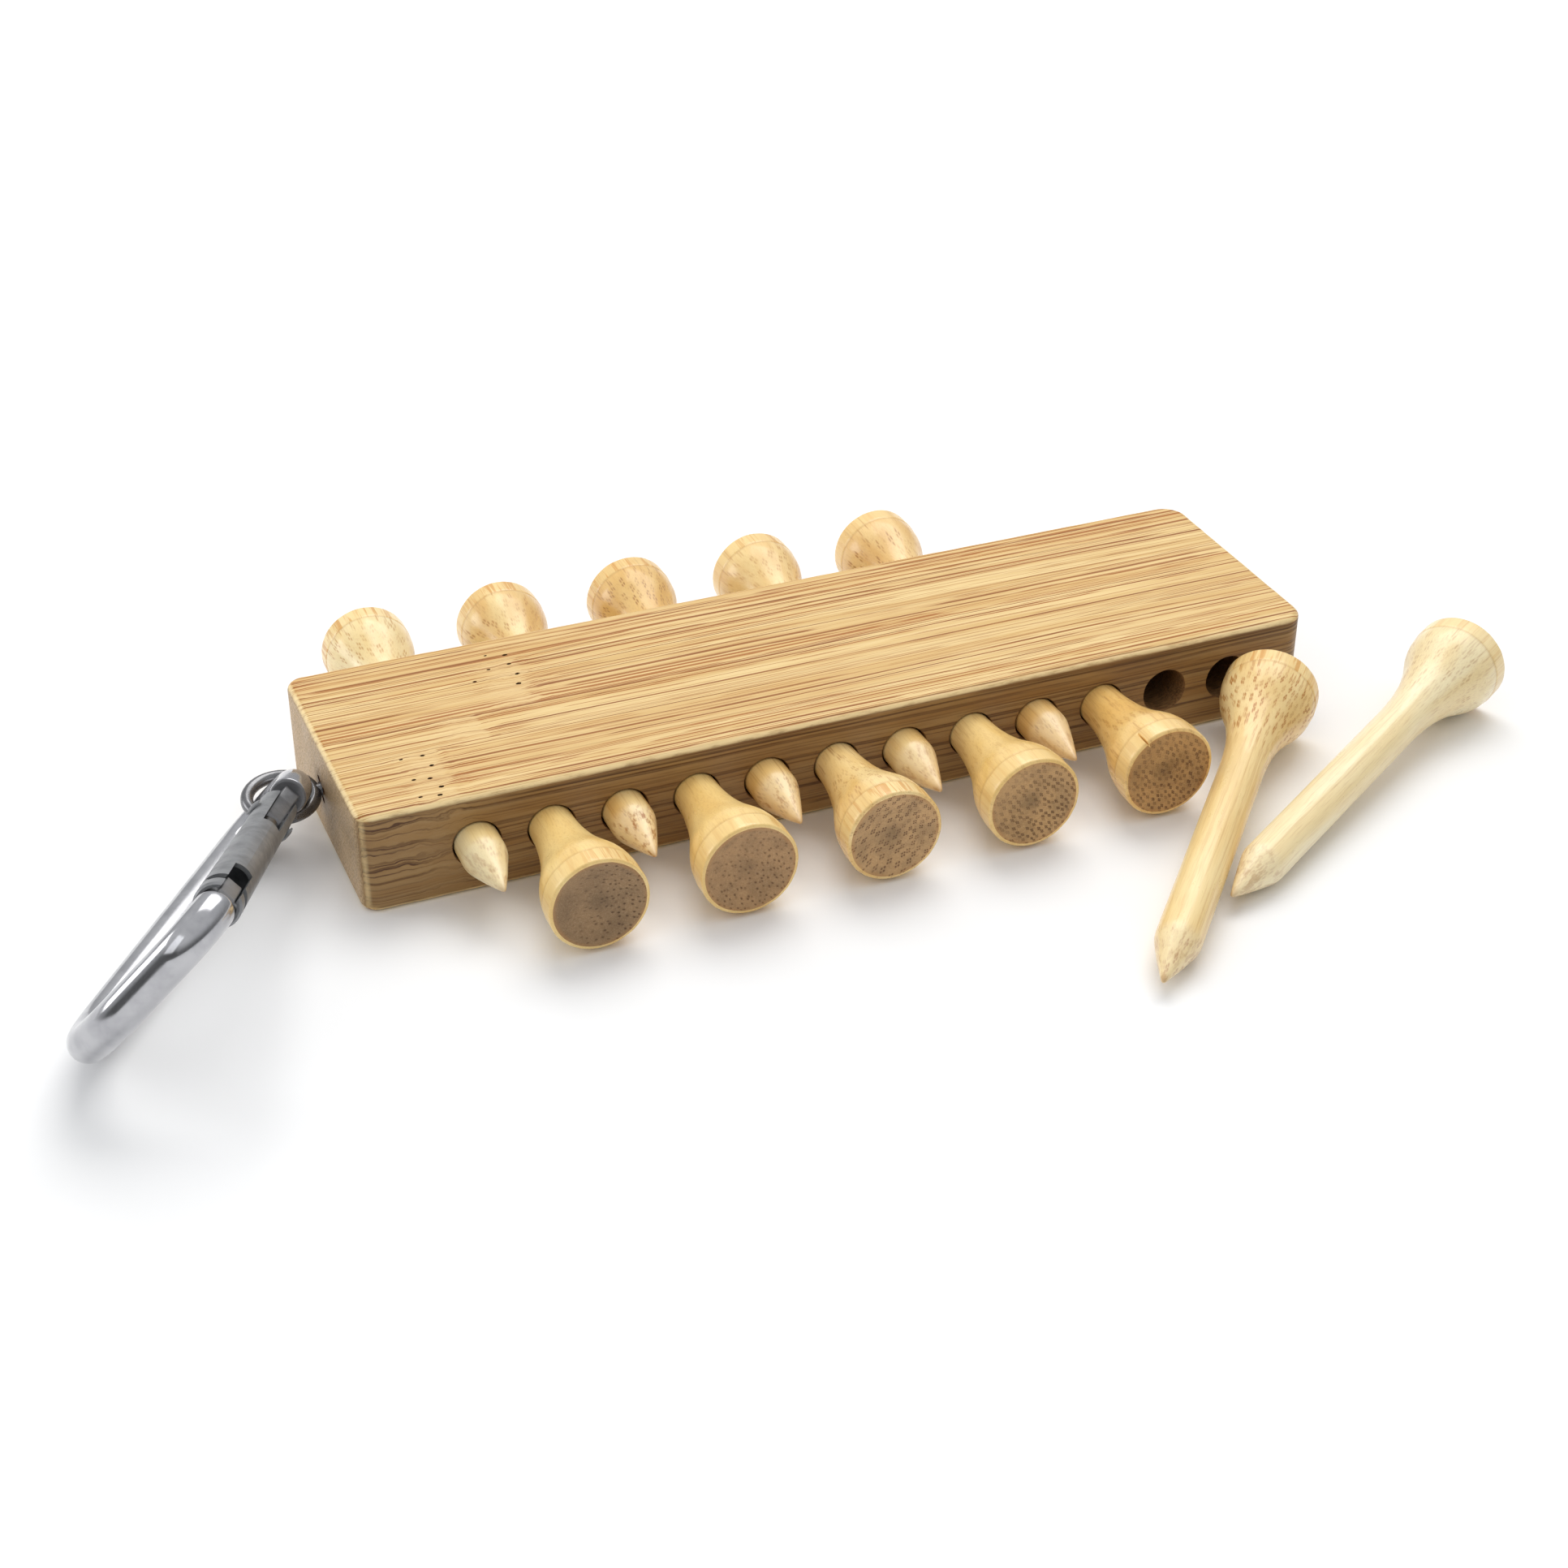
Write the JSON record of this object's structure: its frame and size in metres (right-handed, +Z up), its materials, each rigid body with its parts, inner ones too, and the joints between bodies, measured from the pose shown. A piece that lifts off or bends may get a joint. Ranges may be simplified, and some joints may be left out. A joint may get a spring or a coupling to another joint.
{
  "type": "bamboo golf tee holder with tees",
  "caption": "Bar-shaped bamboo block with a row of cross holes, golf tees parked in it head to tail, loose tees beside it, and a snap hook linked to a screw eye in one end.",
  "frame": {"origin": "centre of the block's bottom face, which rests on the table", "axes": "+X along the block away from the screw eye, +Z up through the block's thickness, -Y towards the side where the loose tees lie"},
  "size_m": [0.1677, 0.0902, 0.022],
  "materials": {
    "bamboo_block": "semi-gloss clear lacquer over laminated bamboo",
    "bamboo_tee": "thin clear coat over turned bamboo",
    "eye_steel": "plated wire",
    "polished_rod": "polished",
    "satin_gate": "satin",
    "spring_steel": "plain"
  },
  "bodies": {
    "holder": {"holder_block": "bamboo_block", "screw_eye": "eye_steel"},
    "carabiner": {"carabiner_body": "polished_rod", "gate_pivot_rivet": "satin_gate", "gate_latch_pin": "satin_gate"},
    "gate": {"carabiner_gate": "satin_gate", "gate_spring": "spring_steel"},
    "plunger": {"gate_plunger": "spring_steel"},
    "tee_01": {"tee_01": "bamboo_tee"},
    "tee_02": {"tee_02": "bamboo_tee"},
    "tee_03": {"tee_03": "bamboo_tee"},
    "tee_04": {"tee_04": "bamboo_tee"},
    "tee_05": {"tee_05": "bamboo_tee"},
    "tee_06": {"tee_06": "bamboo_tee"},
    "tee_07": {"tee_07": "bamboo_tee"},
    "tee_08": {"tee_08": "bamboo_tee"},
    "tee_09": {"tee_09": "bamboo_tee"},
    "tee_10": {"tee_10": "bamboo_tee"},
    "loose_tee_1": {"loose_tee_1": "bamboo_tee"},
    "loose_tee_2": {"loose_tee_2": "bamboo_tee"}
  },
  "joints": [
    {"name": "carabiner_swivel", "type": "hinge", "parent": "holder", "child": "carabiner", "pos_m": [-0.06143, 0.00075, 0.00615], "axis": [0, -0.1219, 0.9925], "range_deg": [-110, 20]},
    {"name": "gate_swing", "type": "hinge", "parent": "carabiner", "child": "gate", "pos_m": [-0.06491, -0.01093, 0.01105], "axis": [0.5985, -0.4601, -0.6558], "range_deg": [0, 25], "stiffness_Nm_per_rad": 0.06, "springref_deg": -8.59},
    {"name": "plunger_slide", "type": "slide", "parent": "gate", "child": "plunger", "axis": [-0.3496, -0.8866, 0.3029], "range_m": [0, 0.00046], "deforming": ["gate_spring"]},
    {"name": "tee_01_pull", "type": "slide", "parent": "holder", "child": "tee_01", "axis": [0, 1, 0], "range_m": [0, 0.042]},
    {"name": "tee_02_pull", "type": "slide", "parent": "holder", "child": "tee_02", "axis": [0, -1, 0], "range_m": [0, 0.04]},
    {"name": "tee_03_pull", "type": "slide", "parent": "holder", "child": "tee_03", "axis": [0, 1, 0], "range_m": [0, 0.042]},
    {"name": "tee_04_pull", "type": "slide", "parent": "holder", "child": "tee_04", "axis": [0, -1, 0], "range_m": [0, 0.04]},
    {"name": "tee_05_pull", "type": "slide", "parent": "holder", "child": "tee_05", "axis": [0, 1, 0], "range_m": [0, 0.042]},
    {"name": "tee_06_pull", "type": "slide", "parent": "holder", "child": "tee_06", "axis": [0, -1, 0], "range_m": [0, 0.04]},
    {"name": "tee_07_pull", "type": "slide", "parent": "holder", "child": "tee_07", "axis": [0, 1, 0], "range_m": [0, 0.042]},
    {"name": "tee_08_pull", "type": "slide", "parent": "holder", "child": "tee_08", "axis": [0, -1, 0], "range_m": [0, 0.018]},
    {"name": "tee_09_pull", "type": "slide", "parent": "holder", "child": "tee_09", "axis": [0, 1, 0], "range_m": [0, 0.042]},
    {"name": "tee_10_pull", "type": "slide", "parent": "holder", "child": "tee_10", "axis": [0, -1, 0], "range_m": [0, 0.04]},
    {"name": "loose_tee_1_lift", "type": "slide", "parent": "tee_10", "child": "loose_tee_1", "axis": [0, 0, 1], "range_m": [0, 0.06]},
    {"name": "loose_tee_2_lift", "type": "slide", "parent": "tee_10", "child": "loose_tee_2", "axis": [0, 0, 1], "range_m": [0, 0.06]}
  ],
  "couplings": [
    {"joint": "plunger_slide", "follows": "gate_swing", "m_per_rad": 0.001031}
  ]
}
